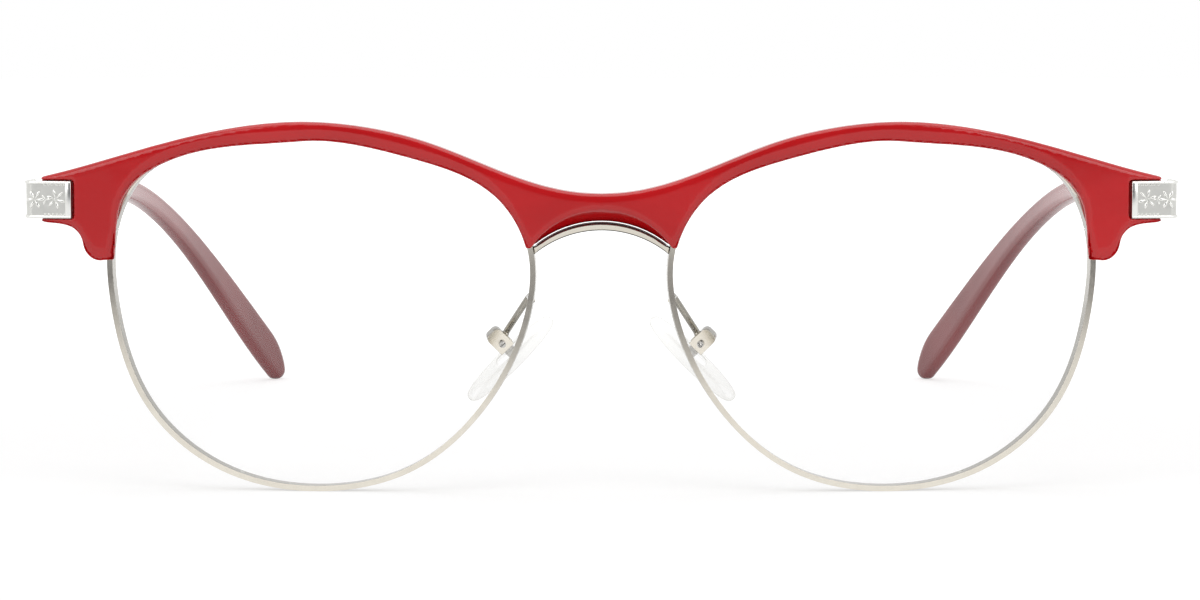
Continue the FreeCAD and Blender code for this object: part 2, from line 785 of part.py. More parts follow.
def make_front_hinge():
    """A leaf on the inside of the end piece with two knuckles, and the screw through them."""
    leg = side_x - size("side_thickness")
    middle = size("knuckle_height") / 2 + size("knuckle_gap")
    arm_y = hinge_y - size("leaf_arm") - size("barrel_gap")
    pieces = []
    for low in (middle, -middle - size("knuckle_height")):
        pieces.append(knuckle(low, "Sizes.knuckle_height"))
        arm_place = spot(hinge_x, arm_y, hinge_z + low)
        pieces.append(block(arm_place, REACH_TO_LEG, "Sizes.leaf_arm", "Sizes.knuckle_height"))
    base = block(
        spot(leg - size("leaf_thickness"), arm_y, hinge_z - middle - size("knuckle_height")),
        "Sizes.leaf_thickness", "Sizes.leaf_arm", "3 * Sizes.knuckle_height + 2 * Sizes.knuckle_gap",
    )
    keep_pair(cut(fuse(base, *pieces), hinge_bore()), "front_hinge")
    head = spot(hinge_x, hinge_y, hinge_z + middle + size("knuckle_height"))
    pin = screw(head, "Sizes.hinge_pin_radius", "3 * Sizes.knuckle_height + 2 * Sizes.knuckle_gap",
                "Sizes.screw_head_radius")
    keep_pair(pin, "hinge_screw")


def leaf_rivet_places():
    """The rivets of a temple hinge leaf, their Z pointing out into the temple."""
    inner = temple_x - size("temple_thickness") / 2
    start = size("knuckle_radius") + size("barrel_gap")
    out = Rotation(UP, ACROSS)
    spots = []
    for share in LEAF_RIVET_SHARES:
        run = start + share * (size("leaf_length") - start)
        down = run * math.tan(math.radians(size("temple_slope")))
        spots.append(Placement(Vector(inner, hinge_y + run, hinge_z - down), out))
    return spots


def make_temple_hinge():
    """A leaf on the temple's inner face with the middle knuckle."""
    inner = temple_x - size("temple_thickness") / 2
    half = size("knuckle_height") / 2
    start = size("knuckle_radius") + size("barrel_gap")
    arm = block(spot(hinge_x, hinge_y, hinge_z - half), "Sizes.knuckle_radius + Sizes.barrel_gap",
                "Sizes.knuckle_radius + Sizes.barrel_gap + Sizes.leaf_thickness", "Sizes.knuckle_height")
    slope = Rotation(ACROSS, -size("temple_slope"))
    place = Placement(Vector(inner - size("leaf_thickness"), hinge_y, hinge_z), slope)
    leaf = block(place.multiply(spot(0, start, -size("leaf_height") / 2)), "Sizes.leaf_thickness",
                 "Sizes.leaf_length - Sizes.knuckle_radius - Sizes.barrel_gap", "Sizes.leaf_height")
    keep_pair(cut(fuse(leaf, arm, knuckle(-half, "Sizes.knuckle_height")), hinge_bore()), "temple_hinge")
    pins = [cylinder(place, "Sizes.rivet_radius", RIVET_BITE) for place in leaf_rivet_places()]
    group = doc.addObject("Part::Compound", "Rivets")
    group.Links = pins
    keep_pair(group, "temple_rivets")


def side_strip(heights, first_run, last_run):
    """A temple's side outline between two runs, with its heights at the hinge, the waist and the tip."""
    butt = Vector(hinge_y + size("butt_gap"), 0)
    upper, middle, lower = [
        [point + butt for point in points] for points in temple_edges(heights, first_run, last_run, ear)
    ]
    return [spline(upper), *tip_arcs(upper, middle, lower), spline(lower), line(upper[0], lower[0])]


def plan_strip(half):
    """A temple's plan outline: straight, then curving in towards the head."""
    start = hinge_y + size("butt_gap")
    bend = start + size("head_start")
    centre = Vector(temple_x - size("head_radius"), bend)
    tip_back = start + tip_box(ear).XMax + size("overrun")
    turn = math.asin((tip_back - bend) / size("head_radius"))
    curves, ends = [], []
    for side in (half, -half):
        radius = size("head_radius") + side
        first, middle, last = [
            centre + Vector(math.cos(angle), math.sin(angle)) * radius for angle in (0, turn / 2, turn)
        ]
        head = Vector(first.x, start)
        curves += [line(head, first), Part.Arc(first, middle, last)]
        ends.append((head, last))
    return curves + [line(ends[0][0], ends[1][0]), line(ends[0][1], ends[1][1])]


def is_long_edge(edge):
    """Whether an edge runs along a temple's side or round its tip, but not round its butt end."""
    box = edge.BoundBox
    return box.YLength > size("temple_edge") and box.YMax > hinge_y + size("leaf_length")


def make_temple():
    """A temple bar with its ear bend, and the metal strip inside it."""
    strip = side_strip(temple_heights, 0, size("temple_length"))
    side = prism(Placement(Vector(), TO_SIDE), strip, "4 * Sizes.temple_length")
    plan = prism(spot(0, 0), plan_strip(size("temple_thickness") / 2), "4 * Sizes.lens_height")
    bar = boolean("Common", side, plan)
    margin = size("core_margin")
    strip = side_strip([size("core_height")] * 3, margin, size("temple_length") - margin)
    core_side = prism(Placement(Vector(), TO_SIDE), strip, "4 * Sizes.temple_length")
    core_plan = prism(spot(0, 0), plan_strip(size("core_thickness") / 2), "4 * Sizes.lens_height")
    core = boolean("Common", core_side, core_plan)
    holes = [cylinder(place, "Sizes.rivet_radius", RIVET_BITE) for place in leaf_rivet_places()]
    keep_pair(cut(soft_edges(bar, "temple_edge", is_long_edge), core, *holes), "temple")
    keep_pair(core, "temple_core")


def pad_place():
    """A nose pad's frame: X along it, downwards and out, Z away from the nose, Y across it, back."""
    lean, splay = math.radians(size("pad_lean")), math.radians(size("pad_splay"))
    along = Vector(math.cos(lean), 0, -math.sin(lean))
    out = Vector(math.sin(lean) * math.cos(splay), -math.sin(splay), math.cos(lean) * math.cos(splay))
    turn = Rotation(along, out.cross(along), out, "XZY")
    return Placement(Vector(size("pad_out"), front_y + size("pad_set_back"), size("pad_rise")), turn)


def pad_axis_height():
    """The pad screw's height over the pad's middle plane."""
    return size("pad_thickness") / 2 + size("boss_height") + size("pad_rock_gap") + size("box_size") / 2


def pad_spot(x=0, y=0, z=0, turn=Rotation()):
    return pad_place().multiply(Placement(Vector(x, y, z), turn))


def make_nose_pad():
    """A soft oval pad with a boss on its back for the lug."""
    half = size("pad_thickness") / 2
    oval = Part.Ellipse(Vector(), size("pad_length") / 2, size("pad_width") / 2)
    pad = soft_edges(prism(pad_spot(), [oval], "Sizes.pad_thickness"), "pad_edge", Part.Edge.isClosed)
    length, width = size("boss_length"), size("boss_width")
    middle = Vector(-size("box_rise"), 0)
    signs = ((1, 1), (-1, 1), (-1, -1), (1, -1))
    corners = [middle + Vector(x * length / 2, y * width / 2) for x, y in signs]
    boss_place = pad_spot(0, 0, half + size("boss_height") / 2)
    boss = prism(boss_place, rounded(corners, [width * BOSS_CORNER_SHARE] * 4), "Sizes.boss_height")
    keep_pair(cut(fuse(pad, boss), lug_tang()), "nose_pad")


def lug_tang():
    """The pad lug's flat tang, from inside the pad up to the screw."""
    wide = size("box_size") - 2 * size("box_wall") - 2 * size("pad_lug_gap")
    thick = size("box_depth") - 2 * size("box_wall") - 2 * size("pad_lug_gap")
    return block(
        pad_spot(-size("box_rise") - wide / 2, -thick / 2, 0),
        "Sizes.box_size - 2 * Sizes.box_wall - 2 * Sizes.pad_lug_gap",
        LUG_THICKNESS,
        "Sizes.pad_thickness / 2 + Sizes.boss_height + Sizes.pad_rock_gap + Sizes.box_size / 2",
    )


def make_pad_lug():
    """The tang with a round eye for the pad screw."""
    thick = size("box_depth") - 2 * size("box_wall") - 2 * size("pad_lug_gap")
    place = pad_spot(-size("box_rise"), thick / 2, pad_axis_height(), Rotation(ACROSS, 90))
    eye = cylinder(place, "Sizes.box_size / 2 - Sizes.box_wall - Sizes.pad_lug_gap", LUG_THICKNESS)
    keep_pair(cut(fuse(lug_tang(), eye), pad_bore("Sizes.hinge_pin_fit")), "pad_lug")


def pad_bore(fit):
    place = pad_spot(-size("box_rise"), size("box_depth"), pad_axis_height(), Rotation(ACROSS, 90))
    return cylinder(place, f"Sizes.pad_screw_radius + {fit}", "2 * Sizes.box_depth")


def make_pad_box():
    """A cup with a rounded end, open towards the pad, that holds the lug between its two walls."""
    half, deep, wall = size("box_size") / 2, size("box_depth") / 2, size("box_wall")
    low = pad_axis_height() - half
    to_pad = pad_place().inverse()

    def is_end_corner(edge):
        middle = to_pad.multVec(edge.CenterOfMass)
        return abs(middle.y) < wall and middle.z > low + size("box_size")

    corner = pad_spot(-size("box_rise") - half, -deep, low)
    body = block(corner, "Sizes.box_size", "Sizes.box_depth", "Sizes.box_size + Sizes.box_crown")
    body = soft_edges(body, "box_round", is_end_corner)
    inner = block(
        pad_spot(-size("box_rise") - half - size("overrun"), wall - deep, low - size("overrun")),
        "Sizes.box_size + 2 * Sizes.overrun",
        "Sizes.box_depth - 2 * Sizes.box_wall",
        "Sizes.box_size - Sizes.box_wall + Sizes.overrun",
    )
    keep_pair(cut(body, inner, pad_bore("Sizes.screw_fit")), "pad_box")
    head = pad_spot(-size("box_rise"), -deep, pad_axis_height(), Rotation(ACROSS, 90))
    pin = screw(head, "Sizes.pad_screw_radius", "Sizes.box_depth", "1.4 * Sizes.pad_screw_radius")
    keep_pair(pin, "pad_screw")


def arm_route():
    """The pad arm's line: off the back of the eyewire, back and down, then round to the box's back."""
    base = eye_base()
    point = base.value(base.parameter(Vector(-half_lens_width, ARM_SHARE * half_lens_height)))
    start = eye_spot(point.x, point.y).multVec(BACK * (size("rim_depth") / 2 - size("solder_sink")))
    back = pad_place().Rotation.multVec(BACK)
    up, off = [share * size("box_size") for share in ARM_END_SHARES]
    end = pad_spot(-size("box_rise") - up, size("box_depth") / 2, pad_axis_height() + off).Base
    return [start, start + Vector(*KNEE_SHARES) * size("arm_reach"), end + back * size("arm_foot"), end]


def bent_wire(points, bend):
    """Straight runs joined by tangent arcs, as edges of one wire."""
    edges, last = [], points[0]
    for before, corner, after in zip(points, points[1:], points[2:]):
        back, ahead = (before - corner).normalize(), (after - corner).normalize()
        half = back.getAngle(ahead) / 2
        trim = bend / math.tan(half)
        middle = corner + (back + ahead).normalize() * (bend / math.sin(half) - bend)
        edges.append(line(last, corner + back * trim).toShape())
        edges.append(Part.Arc(corner + back * trim, middle, corner + ahead * trim).toShape())
        last = corner + ahead * trim
    edges.append(line(last, points[-1]).toShape())
    return Part.Wire(edges)


def make_pad_arm():
    """A round wire bent into a goose neck."""
    points = arm_route()
    path = bent_wire(points, size("arm_bend"))
    ring = Part.Circle(points[0], points[1] - points[0], size("arm_radius")).toShape()
    arm = doc.addObject("Part::Feature", "Arm")
    arm.Shape = path.makePipeShell([Part.Wire(ring)], True, False)
    keep_pair(arm, "pad_arm")


def failed():
    """Names of the objects that did not build, and of sub-parts without a sound shape."""
    names = [o.Name for o in doc.Objects if "Invalid" in o.State or "Error" in o.State]
    return names + [n.Label for n in nodes if n.Shape.isNull() or not n.Shape.isValid()]


def main():
    makers = (
        make_brow, make_lens, make_eyewire, make_bridge, make_rim_lock, make_brow_lug, make_end_piece,
        make_front_hinge, make_temple_hinge, make_temple, make_nose_pad, make_pad_lug, make_pad_box,
        make_pad_arm,
    )
    for maker in makers:
        maker()
    doc.recompute()
    broken = failed()
    if broken:
        raise RuntimeError(f"did not build: {', '.join(broken)}")
    os.makedirs("parts", exist_ok=True)
    for node in nodes:
        node.Shape.exportStep(os.path.join("parts", f"{node.Label}.step"))
    print(f"{len(nodes)} parts written")


main()
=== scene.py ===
import json
import math

import bpy
from mathutils import Matrix, Vector

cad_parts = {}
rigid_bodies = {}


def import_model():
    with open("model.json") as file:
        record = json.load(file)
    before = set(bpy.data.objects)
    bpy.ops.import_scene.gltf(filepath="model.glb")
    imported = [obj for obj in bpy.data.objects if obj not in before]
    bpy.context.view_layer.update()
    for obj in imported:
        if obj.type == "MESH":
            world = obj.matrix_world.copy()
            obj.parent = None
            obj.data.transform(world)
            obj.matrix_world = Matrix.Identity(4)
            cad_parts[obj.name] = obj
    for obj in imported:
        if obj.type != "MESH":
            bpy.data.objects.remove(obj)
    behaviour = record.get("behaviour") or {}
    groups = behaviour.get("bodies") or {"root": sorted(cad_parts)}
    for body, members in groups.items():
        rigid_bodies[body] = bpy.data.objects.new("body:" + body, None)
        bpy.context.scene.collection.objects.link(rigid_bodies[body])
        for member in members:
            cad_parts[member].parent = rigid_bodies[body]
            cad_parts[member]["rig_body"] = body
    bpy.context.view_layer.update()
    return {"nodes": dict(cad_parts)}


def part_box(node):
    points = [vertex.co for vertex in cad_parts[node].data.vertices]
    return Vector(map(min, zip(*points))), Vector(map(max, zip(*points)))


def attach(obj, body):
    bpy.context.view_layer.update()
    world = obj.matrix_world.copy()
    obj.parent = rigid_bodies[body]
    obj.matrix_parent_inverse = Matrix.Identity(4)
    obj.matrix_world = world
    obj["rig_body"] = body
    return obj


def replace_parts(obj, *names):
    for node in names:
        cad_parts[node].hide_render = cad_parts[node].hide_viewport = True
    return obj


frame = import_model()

MM = 0.001
SIDES = {"left": 1, "right": -1}

# Forms of the looks: sizes in millimetres, turns in radians; BROW_FRONT is a normal's Y, BROW_LEAN a slope
# and BROW_EVEN a count of steps
RIM_WIDTH = 0.68
RIM_BEVEL = 0.3
BAR_BEVEL = 0.2
BAR_LEAN = 0.35
BAR_DROP = 0.25
BROW_FRONT = -0.6
BROW_BAND = 1.15
BROW_LEAN = 0.22
BRIDGE_FADE = (7.5, 10.5)
BROW_STEP = 0.25
BROW_EVEN = 4
FITTING_BEVEL = 0.08
LENS_TURN = math.radians(4)
PLATE_SUNK = 0.2
PLATE_CORNER = 1.3
PLATE_SWEEP = math.radians(9)
RAIL_RADIUS = 0.2
PETAL = (0.6, 0.22, 0.2)
LEAF = (0.36, 0.16, 0.16)
BAND = (0.75, 0.36)
BAND_RUN = 0.5
BEAD = (0.2, 0.13, 0.14)

# Voxel size in millimetres and smoothing passes that wear a moulded piece's edges round
BROW_WEAR = (0.2, 8)
TEMPLE_WEAR = (0.22, 8)
PAD_WEAR = (0.1, 40)

# Corners sharper than this, in degrees, are bevelled
SHARP = 50

# A petal's narrowing: all that lies below a place along it shrinks by a share, one after the other
PETAL_TAPERS = ((0.2, 0.86), (-0.3, 0.78), (-0.7, 0.7))

# The plates' front ornament: form, run and rise in millimetres, petals, ring in millimetres, turn in radians
FLOWERS = (
    ("petal", 2.1, 0.05, 6, 0.66, 0.3),
    ("leaf", 3.4, 0.0, 3, 0.36, 0.9),
    ("petal", 4.75, 0.0, 6, 0.62, 0.0),
)

# The sprigs round the corner: how many, first run and step in millimetres, leaves, ring in millimetres,
# and the turn from one to the next in radians
SPRIGS = 4
SPRIG_START = 3.0
SPRIG_STEP = 1.5
SPRIG_LEAVES = 5
SPRIG_RING = 0.42
SPRIG_TURN = 0.3

# The beads beside the rails: how many, first run, step and inset in millimetres
BEADS = 6
BEAD_START = 0.95
BEAD_STEP = 0.5
BEAD_INSET = 0.3

# How many straight steps a rail has
RAIL_STEPS = 40

# The lamps: place and size in metres, power in watts
LAMP_AIM = (0, 0, 0.02)
LAMPS = {
    "overhead": ((0, -0.1, 0.9), 0.9, 3.2),
    "front_left": ((-0.7, -0.8, 0.5), 0.6, 2.2),
    "front_right": ((0.7, -0.8, 0.5), 0.6, 2.2),
}

# The strength of the world's light on the part, and the white that the eye sees
FILL = 0.55
WHITE = (1, 1, 1, 1)

# Points of a copy that lie this near are joined, in millimetres, and faces this flat are too, in degrees
MERGE_REACH = 0.002
FLAT_ANGLE = 0.2

# An eyewire's outer wall: the most its normal follows the lens's axis, and the least it points away from it
WALL_ALONG = 0.2
WALL_OUT = 0.5

# The camera, as the photograph was taken: millimetres, degrees and the frame's width in pixels
CAMERA_AHEAD = 400
CAMERA_HEIGHT = 55.4
CAMERA_ASIDE = -0.18
CAMERA_PITCH = 4.53
FOCAL_PIXELS = 3305
FRAME_PIXELS = 1200
SENSOR = 36

# What gloss shows of the room on the camera's side, and where the white floor ends for it, in metres ahead
ROOM = (0.14, 0.14, 0.15, 1)
ROOM_CONE = (0.82, 0.95)
ROOM_RISE = 0.35
FLOOR_ENDS = (0.33, 0.52)

# The floor: its width in metres, its colour for light and for the eye, its own white near the part, and where
# that grows to full white behind the part, in metres
FLOOR_SIZE = 8
FLOOR_LIT = (0.8, 0.8, 0.8, 1)
FLOOR_SEEN = (0.5, 0.5, 0.5, 1)
FLOOR_GLOW = (0.54, 0.54, 0.54, 1)
FLOOR_BACK = (0.0, 0.35)

# Where the painted pale reflection on the temples' inner side gives way to the deeper rose towards the tips, in
# metres from the middle
PAINTED_PALE_FADES = (0.0, 0.07)

# The painted shade that polished metal turns to where it faces away, and the near-black painted shadow on the
# bridge bar's top under the brow
PAINTED_METAL_SHADE = (0.2, 0.19, 0.165, 1)
PAINTED_BAR_SHADOW = (0.02, 0.018, 0.016, 1)


class Value:
    """A shader socket that takes part in Python maths, adding its Math nodes."""

    def __init__(self, finish, socket):
        self.finish = finish
        self.socket = socket

    def maths(self, operation, first, second):
        return self.finish.node("ShaderNodeMath", {"operation": operation}, {0: first, 1: second})

    def __add__(self, other):
        return self.maths("ADD", self, other)

    def __radd__(self, other):
        return self.maths("ADD", other, self)

    def __rsub__(self, other):
        return self.maths("SUBTRACT", other, self)

    def __mul__(self, other):
        return self.maths("MULTIPLY", self, other)

    def __rmul__(self, other):
        return self.maths("MULTIPLY", other, self)

    def __pow__(self, other):
        return self.maths("POWER", self, other)

    def most(self, other):
        return self.maths("MAXIMUM", self, other)


class Finish:
    """The node tree of a material or of the world."""

    def __init__(self, owner):
        owner.use_nodes = True
        self.owner = owner
        self.tree = owner.node_tree
        self.tree.nodes.clear()

    def node(self, kind, settings=(), sockets=(), out=0):
        """Adds a node with its settings, then its sockets' values or links, and gives one of its outputs."""
        made = self.tree.nodes.new(kind)
        for name, setting in dict(settings).items():
            setattr(made, name, setting)
        for name, value in dict(sockets).items():
            if isinstance(value, Value):
                self.tree.links.new(value.socket, made.inputs[name])
            else:
                made.inputs[name].default_value = value
        return Value(self, made.outputs[out])

    def place(self):
        return self.node("ShaderNodeTexCoord", out="Object")

    def noise(self, scale, detail=3.0, stretch=(1, 1, 1)):
        """Soft blotches, a number of them to the metre, stretched along an axis."""
        where = self.node("ShaderNodeMapping", {}, {"Vector": self.place(), "Scale": stretch})
        return self.node("ShaderNodeTexNoise", {}, {"Vector": where, "Scale": scale, "Detail": detail})

    def mix(self, share, first, second):
        """A colour between two colours."""
        return self.node("ShaderNodeMix", {"data_type": "RGBA"}, {0: share, 6: first, 7: second}, out=2)

    def smooth(self, value, low, high):
        """0 below low, 1 above high, and a soft step between them."""
        settings = {"interpolation_type": "SMOOTHSTEP"}
        sockets = {"Value": value, "From Min": low, "From Max": high}
        return self.node("ShaderNodeMapRange", settings, sockets)

    def bump(self, height, strength, distance):
        sockets = {"Height": height, "Strength": strength, "Distance": distance * MM}
        return self.node("ShaderNodeBump", {}, sockets)

    def close(self, surface, kind="ShaderNodeOutputMaterial"):
        end = self.tree.nodes.new(kind)
        self.tree.links.new(surface.socket, end.inputs["Surface"])
        return self.owner

    def principled(self, **sockets):
        named = {name.replace("_", " "): value for name, value in sockets.items()}
        return self.node("ShaderNodeBsdfPrincipled", {}, named)


def red_acetate():
    """Glossy red plastic with faint clouds of colour, as the brow has."""
    finish = Finish(bpy.data.materials.new("red_acetate"))
    clouds = finish.smooth(finish.noise(55, stretch=(1, 1, 2.5)), 0.3, 0.7)
    colour = finish.mix(clouds, (0.47, 0.005, 0.007, 1), (0.55, 0.007, 0.010, 1))
    shader = finish.principled(
        Base_Color=colour,
        Roughness=0.06 + 0.05 * finish.noise(400),
        Specular_IOR_Level=0.5,
        Normal=finish.bump(finish.noise(900, 2.0), 0.02, 0.02),
    )
    return finish.close(shader)


def rose_acetate():
    """Temple plastic: a deep rose red, paler on the side towards the head, and near the hinge paler still with
    a painted pale reflection.
    """
    finish = Finish(bpy.data.materials.new("rose_acetate"))
    clouds = finish.smooth(finish.noise(60, stretch=(2.5, 1, 1)), 0.3, 0.7)
    pale = finish.mix(clouds, (0.42, 0.19, 0.19, 1), (0.48, 0.22, 0.22, 1))
    rose = finish.mix(clouds, (0.21, 0.057, 0.058, 1), (0.26, 0.072, 0.074, 1))
    deep = finish.mix(clouds, (0.20, 0.030, 0.032, 1), (0.25, 0.042, 0.044, 1))
    back = finish.node("ShaderNodeSeparateXYZ", {}, {0: finish.place()}, out="Y")
    # Painted reflection: near the hinge the inner side takes the pale colour, fading into the rose towards the
    # tips
    inner = finish.mix(finish.smooth(back, *PAINTED_PALE_FADES), pale, rose)
    across = finish.node("ShaderNodeSeparateXYZ", {}, {0: finish.node("ShaderNodeTexCoord", out="Normal")})
    side = finish.node("ShaderNodeSeparateXYZ", {}, {0: finish.place()})
    outwards = across * side.maths("SIGN", side, 0)
    shader = finish.principled(
        Base_Color=finish.mix(finish.smooth(outwards, -0.75, -0.4), inner, deep),
        Roughness=0.14 + 0.08 * finish.noise(300),
        Specular_IOR_Level=0.55,
        Normal=finish.bump(finish.noise(900, 2.0), 0.02, 0.02),
    )
    return finish.close(shader)


def metal(name, dark, light, grain, stretch, roughness, relief, edge=0.0, shade=PAINTED_METAL_SHADE):
    """A bare metal whose colour, gloss and grain follow fine stretched noise, with painted shade that darkens
    it at a slant as much as the edge asks.
    """
    finish = Finish(bpy.data.materials.new(name))
    drawn = finish.noise(grain, 4.0, stretch)
    colour = finish.mix(finish.noise(grain / 6), (*dark, 1), (*light, 1))
    slant = finish.node("ShaderNodeLayerWeight", {}, {"Blend": 0.5}, out="Facing")
    shader = finish.principled(
        # Painted shade: at a slant the base colour turns towards the shade tone, by the edge's share
        Base_Color=finish.mix(edge * finish.smooth(slant, 0.06, 0.42), colour, shade),
        Metallic=1.0,
        Roughness=roughness + 0.12 * drawn,
        Normal=finish.bump(drawn, relief, 0.02),
    )
    return finish.close(shader)


def clear_lens():
    """A coated clear lens: see-through, with a weak reflection that grows at a slant."""
    finish = Finish(bpy.data.materials.new("clear_lens"))
    slant = finish.node("ShaderNodeFresnel", {}, {"IOR": 1.5})
    film = finish.node("ShaderNodeBsdfGlossy", {}, {"Color": (0.93, 0.97, 0.96, 1), "Roughness": 0.03})
    clear = finish.node("ShaderNodeBsdfTransparent")
    smears = 0.16 + 0.08 * finish.noise(90, 2.0)
    return finish.close(finish.node("ShaderNodeMixShader", {}, {0: slant * smears, 1: clear, 2: film}))


def clear_silicone():
    """Soft clear silicone that goes milky at its edges."""
    finish = Finish(bpy.data.materials.new("clear_silicone"))
    edge = finish.node("ShaderNodeLayerWeight", {}, {"Blend": 0.45}, out="Facing")
    haze = 0.02 + 0.02 * finish.noise(500, 2.0) + 0.32 * edge ** 2 + 0.45 * edge ** 8
    body = finish.principled(
        Base_Color=finish.mix(finish.noise(300), (0.52, 0.50, 0.40, 1), (0.62, 0.61, 0.52, 1)),
        Roughness=0.3,
    )
    clear = finish.node("ShaderNodeBsdfTransparent")
    return finish.close(finish.node("ShaderNodeMixShader", {}, {0: haze, 1: clear, 2: body}))


def pick(piece):
    """Makes a piece the only selected and active one."""
    bpy.ops.object.select_all(action="DESELECT")
    piece.hide_set(False)
    piece.select_set(True)
    bpy.context.view_layer.objects.active = piece


def modify(piece, kind, **settings):
    """Adds a modifier with its settings and applies it."""
    pick(piece)
    modifier = piece.modifiers.new(kind.title(), kind)
    for name, setting in settings.items():
        setattr(modifier, name, setting)
    bpy.ops.object.modifier_apply(modifier=modifier.name)


def round_edges(piece, width, segments):
    """Bevels a piece's sharp corners."""
    modify(
        piece, "BEVEL", width=width * MM, segments=segments,
        limit_method="ANGLE", angle_limit=math.radians(SHARP),
    )


def settle(piece):
    """Moves a piece's place, turn and size into its mesh."""
    pick(piece)
    bpy.ops.object.transform_apply(location=True, rotation=True, scale=True)


def body_of(node):
    return frame["nodes"][node]["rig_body"]


def finish_piece(piece, material, body):
    """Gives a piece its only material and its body."""
    piece.data.materials.clear()
    piece.data.materials.append(material)
    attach(piece, body)


def merged_copy(node):
    """A copy of a CAD node's mesh with its loose triangles joined up, active and selected."""
    piece = bpy.data.objects.new(f"{node}_finished", frame["nodes"][node].data.copy())
    bpy.context.scene.collection.objects.link(piece)
    pick(piece)
    bpy.ops.object.mode_set(mode="EDIT")
    bpy.ops.mesh.select_all(action="SELECT")
    bpy.ops.mesh.remove_doubles(threshold=MERGE_REACH * MM)
    bpy.ops.mesh.dissolve_limited(angle_limit=math.radians(FLAT_ANGLE))
    bpy.ops.object.mode_set(mode="OBJECT")
    return piece


def stand_in(piece, node, material, smooth):
    """Shades a finished copy of a CAD node and puts it in the node's stead."""
    pick(piece)
    bpy.ops.object.shade_smooth_by_angle(angle=math.radians(smooth))
    modify(piece, "WEIGHTED_NORMAL", keep_sharp=True)
    finish_piece(piece, material, body_of(node))
    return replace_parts(piece, node)


def dressed(node, material, smooth=32, bevel=0):
    """A copy of a CAD node with its sharp edges broken where asked."""
    piece = merged_copy(node)
    if bevel:
        round_edges(piece, bevel, segments=2)
    stand_in(piece, node, material, smooth)


def softened(node, voxel, passes):
    """A copy of a CAD node in even small faces, its edges worn round."""
    piece = merged_copy(node)
    modify(piece, "REMESH", mode="VOXEL", voxel_size=voxel * MM, use_smooth_shade=True)
    modify(piece, "SMOOTH", factor=0.5, iterations=passes)
    return piece


def moulded(node, material, voxel, passes):
    """A copy of a CAD node with soft, tumbled edges."""
    return stand_in(softened(node, voxel, passes), node, material, smooth=60)


def keep_faces(piece, wanted):
    """Deletes every face of a piece but the wanted ones."""
    pick(piece)
    bpy.ops.object.mode_set(mode="EDIT")
    bpy.ops.mesh.select_mode(type="FACE")
    bpy.ops.mesh.select_all(action="DESELECT")
    bpy.ops.object.mode_set(mode="OBJECT")
    for face in piece.data.polygons:
        face.select = not wanted(face)
    bpy.ops.object.mode_set(mode="EDIT")
    bpy.ops.mesh.delete(type="FACE")
    bpy.ops.object.mode_set(mode="OBJECT")


def make_rim(side, pale):
    """An eyewire of rounded wire, grown inwards from its own outer wall."""
    node = f"{side}_eyewire"
    low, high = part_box(f"{side}_lens")
    middle = (low + high) / 2
    axis = Vector((SIDES[side] * math.sin(LENS_TURN), -math.cos(LENS_TURN), 0))

    def is_outer_wall(face):
        out = face.center - middle
        out -= axis * out.dot(axis)
        along, outwards = face.normal.dot(axis), face.normal.dot(out.normalized())
        return abs(along) < WALL_ALONG and outwards > WALL_OUT

    piece = merged_copy(node)
    keep_faces(piece, is_outer_wall)
    modify(piece, "SOLIDIFY", thickness=RIM_WIDTH * MM, offset=-1, use_even_offset=True)
    round_edges(piece, RIM_BEVEL, segments=4)
    stand_in(piece, node, pale, smooth=45)


def lower_edge(vertices):
    """The height of a front's lower edge by steps across it, each evened out with the steps beside it."""
    lowest = {}
    for vertex in vertices:
        step = round(vertex.co.x / (BROW_STEP * MM))
        lowest[step] = min(lowest.get(step, vertex.co.z), vertex.co.z)
    even = {}
    for step in lowest:
        near = [lowest[step + k] for k in range(-BROW_EVEN, BROW_EVEN + 1) if step + k in lowest]
        even[step] = sum(near) / len(near)
    return even


def make_brow(red):
    """The brow, its front leaning back in a band along its lower edge, but not over the bridge."""
    piece = softened("brow_bar", *BROW_WEAR)
    start, full = BRIDGE_FADE
    front = [vertex for vertex in piece.data.vertices if vertex.normal.y < BROW_FRONT]
    edge = lower_edge(front)
    for vertex in front:
        height = vertex.co.z - edge[round(vertex.co.x / (BROW_STEP * MM))]
        share = min(max((abs(vertex.co.x) / MM - start) / (full - start), 0), 1)
        vertex.co.y += BROW_LEAN * max(share * BROW_BAND * MM - height, 0)
    stand_in(piece, "brow_bar", red, smooth=60)


def make_bridge(bar):
    """The arched bar under the brow, its top sloping to the front and its front leaning back below."""
    piece = merged_copy("bridge_bar")
    # The top slopes to the front so that the bar metal's painted shadow shows along it
    for vertex in piece.data.vertices:
        if vertex.normal.y < 0 and vertex.normal.z < 0:
            vertex.co.y += BAR_LEAN * MM
        elif vertex.normal.y < 0:
            vertex.co.z -= BAR_DROP * MM
    round_edges(piece, BAR_BEVEL, segments=4)
    stand_in(piece, "bridge_bar", bar, smooth=45)


def make_frame_front(red, pale, bar, steel, lens):
    """The brow, the metalwork and the lenses."""
    make_brow(red)
    make_bridge(bar)
    for side in SIDES:
        make_rim(side, pale)
        dressed(f"{side}_lens", lens, smooth=40)
        for name in ("rim_lock_upper", "rim_lock_lower", "brow_lug", "pad_box"):
            dressed(f"{side}_{name}", pale, bevel=FITTING_BEVEL)
        dressed(f"{side}_pad_arm", pale)
        for name in (
            "rim_lock_screw", "brow_screw", "end_rivets", "front_hinge", "hinge_screw", "pad_screw",
        ):
            dressed(f"{side}_{name}", steel)


def make_temples(acetate, steel):
    """The plastic temples and the metal in them."""
    for side in SIDES:
        moulded(f"{side}_temple", acetate, *TEMPLE_WEAR)
        for name in ("temple_core", "temple_hinge", "temple_rivets"):
            dressed(f"{side}_{name}", steel)


